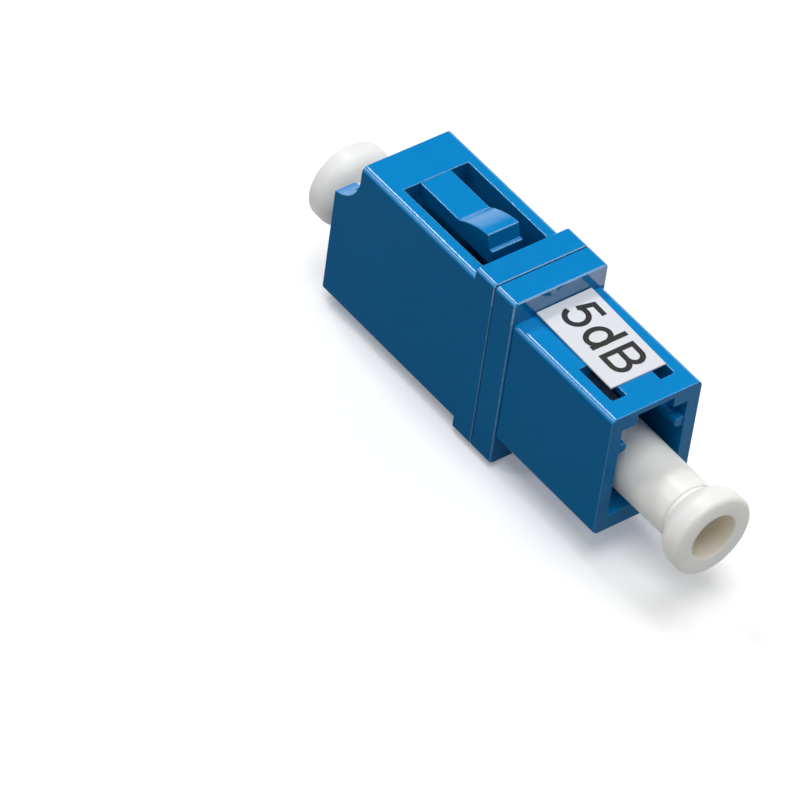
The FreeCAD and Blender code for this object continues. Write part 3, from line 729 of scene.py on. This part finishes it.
def on_label(settings, along, across, up):
    """Spot in millimetres, along the label from its rear edge, across from its middle and up from its foot"""
    low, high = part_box("rating_label")
    middle = (low + high) / 2 / MM
    length, width = settings.length / MM, settings.width / MM
    spot = Vector((along - length / 2, across, 0))
    spot.rotate(Euler((0, 0, settings.turn)))
    loose = (1 - along / length) ** LIFT_FALL * (1 + LIFT_SKEW * across / width)
    return middle + spot + Vector((0, 0, low.z / MM - middle.z + settings.rear_lift / MM * loose + up))


def label_shape(settings):
    """The label as a thin closed strip"""
    length, width, thickness = settings.length / MM, settings.width / MM, settings.thickness / MM
    section = ((-0.5, 0), (0, 0), (0.5, 0), (0.5, thickness), (0, thickness), (-0.5, thickness))
    rings = []
    for step in range(LABEL_STEPS + 1):
        along = length * step / LABEL_STEPS
        rings.append([on_label(settings, along, width * across, up) for across, up in section])
    shape = bmesh.new()
    loft(shape, rings)
    return shape


def rating_shape(settings):
    """The rating's strokes as flat bands that follow the label"""
    scale = settings.letter_height / MM / LETTER_HEIGHT
    half_stroke = settings.stroke / MM / 2
    pen, baseline = FIRST_LETTER
    layer = settings.thickness / MM + INK_LIFT
    shape = bmesh.new()
    for letter in settings.rating:
        advance, strokes = LETTERS[letter]
        for stroke in strokes:
            line = [(pen + x * scale, baseline + y * scale) for x, y in stroke]
            closed = math.dist(line[0], line[-1]) < SAME_SPOT
            line = line[:-1] if closed else line
            edges = zip(beside(line, half_stroke, closed), beside(line, -half_stroke, closed))
            rings = [[on_label(settings, *spot, layer) for spot in pair] for pair in edges]
            loft(shape, rings + rings[:1] if closed else rings, closed=False)
            # Each stroke lies a hair above the last, so that where they cross no two faces share a plane
            layer += INK_LAYER
        pen += advance * scale
    shape.normal_update()
    for face in shape.faces:
        if face.normal.z < 0:
            face.normal_flip()
    return shape


class ATTENUATOR_OT_label(bpy.types.Operator):
    """Builds the rating label, whose rear end rides up the collar, and prints the rating on it"""
    bl_idname = "attenuator.label"
    bl_label = "Rating Label"

    def execute(self, context):
        settings = context.scene.attenuator_label
        paper = printed_label("coated_label_paper", settings.paper_colour, settings.paper_roughness)
        sheet = new_piece("label_sheet", label_shape(settings), paper)
        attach(sheet, "housing")
        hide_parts("rating_label")

        ink = printed_label("ribbon_print_ink", settings.ink_colour, settings.ink_roughness)
        print_piece = new_piece("rating_print", rating_shape(settings), ink)
        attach(print_piece, "housing")
        return {"FINISHED"}


def dish_shape():
    """A round sheet in metres, flat under the part and curving up far around it"""
    turns = [math.tau * step / DISH_STEPS for step in range(DISH_STEPS + 1)]
    rise = [(DISH_FLAT + DISH_RISE * math.sin(a), DISH_RISE - DISH_RISE * math.cos(a))
            for a in map(math.radians, range(0, 91, 10))]
    shape = bmesh.new()
    loft(shape, [[(radius * math.cos(a), radius * math.sin(a), height) for a in turns]
                 for radius, height in [(0, 0)] + rise], closed=False)
    bmesh.ops.remove_doubles(shape, verts=shape.verts, dist=SAME_SPOT * MM)
    return shape


def hang_softbox(scene, name, way, size, brightness):
    """A rectangular lamp that faces the part and lies along it"""
    lamp = bpy.data.lights.new(name, "AREA")
    lamp.shape = "RECTANGLE"
    lamp.size, lamp.size_y = size
    lamp.energy = brightness * math.pi * lamp.size * lamp.size_y
    box = bpy.data.objects.new(name, lamp)
    back = Vector(way).normalized()
    along = (Vector((1, 0, 0)) - back * back.x).normalized()
    box.rotation_euler = Matrix((along, back.cross(along), back)).transposed().to_euler()
    box.location = back * LAMP_DISTANCE
    scene.collection.objects.link(box)


class ATTENUATOR_OT_stage(bpy.types.Operator):
    """Sets the paper sweep, the studio lights and the camera"""
    bl_idname = "attenuator.stage"
    bl_label = "Stage"

    def execute(self, context):
        scene = context.scene
        settings = scene.attenuator_stage
        scene.view_settings.view_transform = "Standard"
        floor = smooth_object("paper_floor", dish_shape(), paper_sweep(settings))
        floor.location.z = CAD_BOX[0][2] - FLOOR_GAP

        world = bpy.data.worlds.new("studio")
        world.use_nodes = True
        world.node_tree.nodes["Background"].inputs["Color"].default_value = rgba(settings.room_colour)
        scene.world = world
        for name, way, size, brightness in SOFTBOXES:
            hang_softbox(scene, name, way, size, brightness * settings.light_level)

        camera = bpy.data.objects.new("camera", bpy.data.cameras.new("camera"))
        camera.location = settings.camera_place
        camera.rotation_euler = settings.camera_turn
        camera.data.lens = settings.camera_lens
        camera.data.sensor_width = 36
        scene.collection.objects.link(camera)
        scene.camera = camera
        return {"FINISHED"}


OPERATORS = (
    ATTENUATOR_OT_housing,
    ATTENUATOR_OT_panel_latches,
    ATTENUATOR_OT_dust_caps,
    ATTENUATOR_OT_ferrule_line,
    ATTENUATOR_OT_label,
    ATTENUATOR_OT_stage,
)


class ATTENUATOR_PT_sidebar(bpy.types.Panel):
    """Lists the attenuator's settings and the operators that build it"""
    bl_idname = "ATTENUATOR_PT_sidebar"
    bl_label = "Attenuator"
    bl_space_type = "VIEW_3D"
    bl_region_type = "UI"
    bl_category = "Attenuator"

    def draw(self, context):
        for key, group in SETTINGS.items():
            box = self.layout.box()
            for setting in group.__annotations__:
                box.prop(getattr(context.scene, key), setting)
        for operator in OPERATORS:
            self.layout.operator(operator.bl_idname)


CLASSES = (*SETTINGS.values(), *OPERATORS, ATTENUATOR_PT_sidebar)


def register():
    for kind in CLASSES:
        bpy.utils.register_class(kind)
    for key, group in SETTINGS.items():
        setattr(bpy.types.Scene, key, bpy.props.PointerProperty(type=group))


def unregister():
    for key in SETTINGS:
        delattr(bpy.types.Scene, key)
    for kind in reversed(CLASSES):
        bpy.utils.unregister_class(kind)


def main():
    register()
    bpy.ops.attenuator.housing()
    bpy.ops.attenuator.panel_latches()
    bpy.ops.attenuator.dust_caps()
    bpy.ops.attenuator.ferrule_line()
    bpy.ops.attenuator.label()
    bpy.ops.attenuator.stage()


if __name__ == "__main__":
    main()
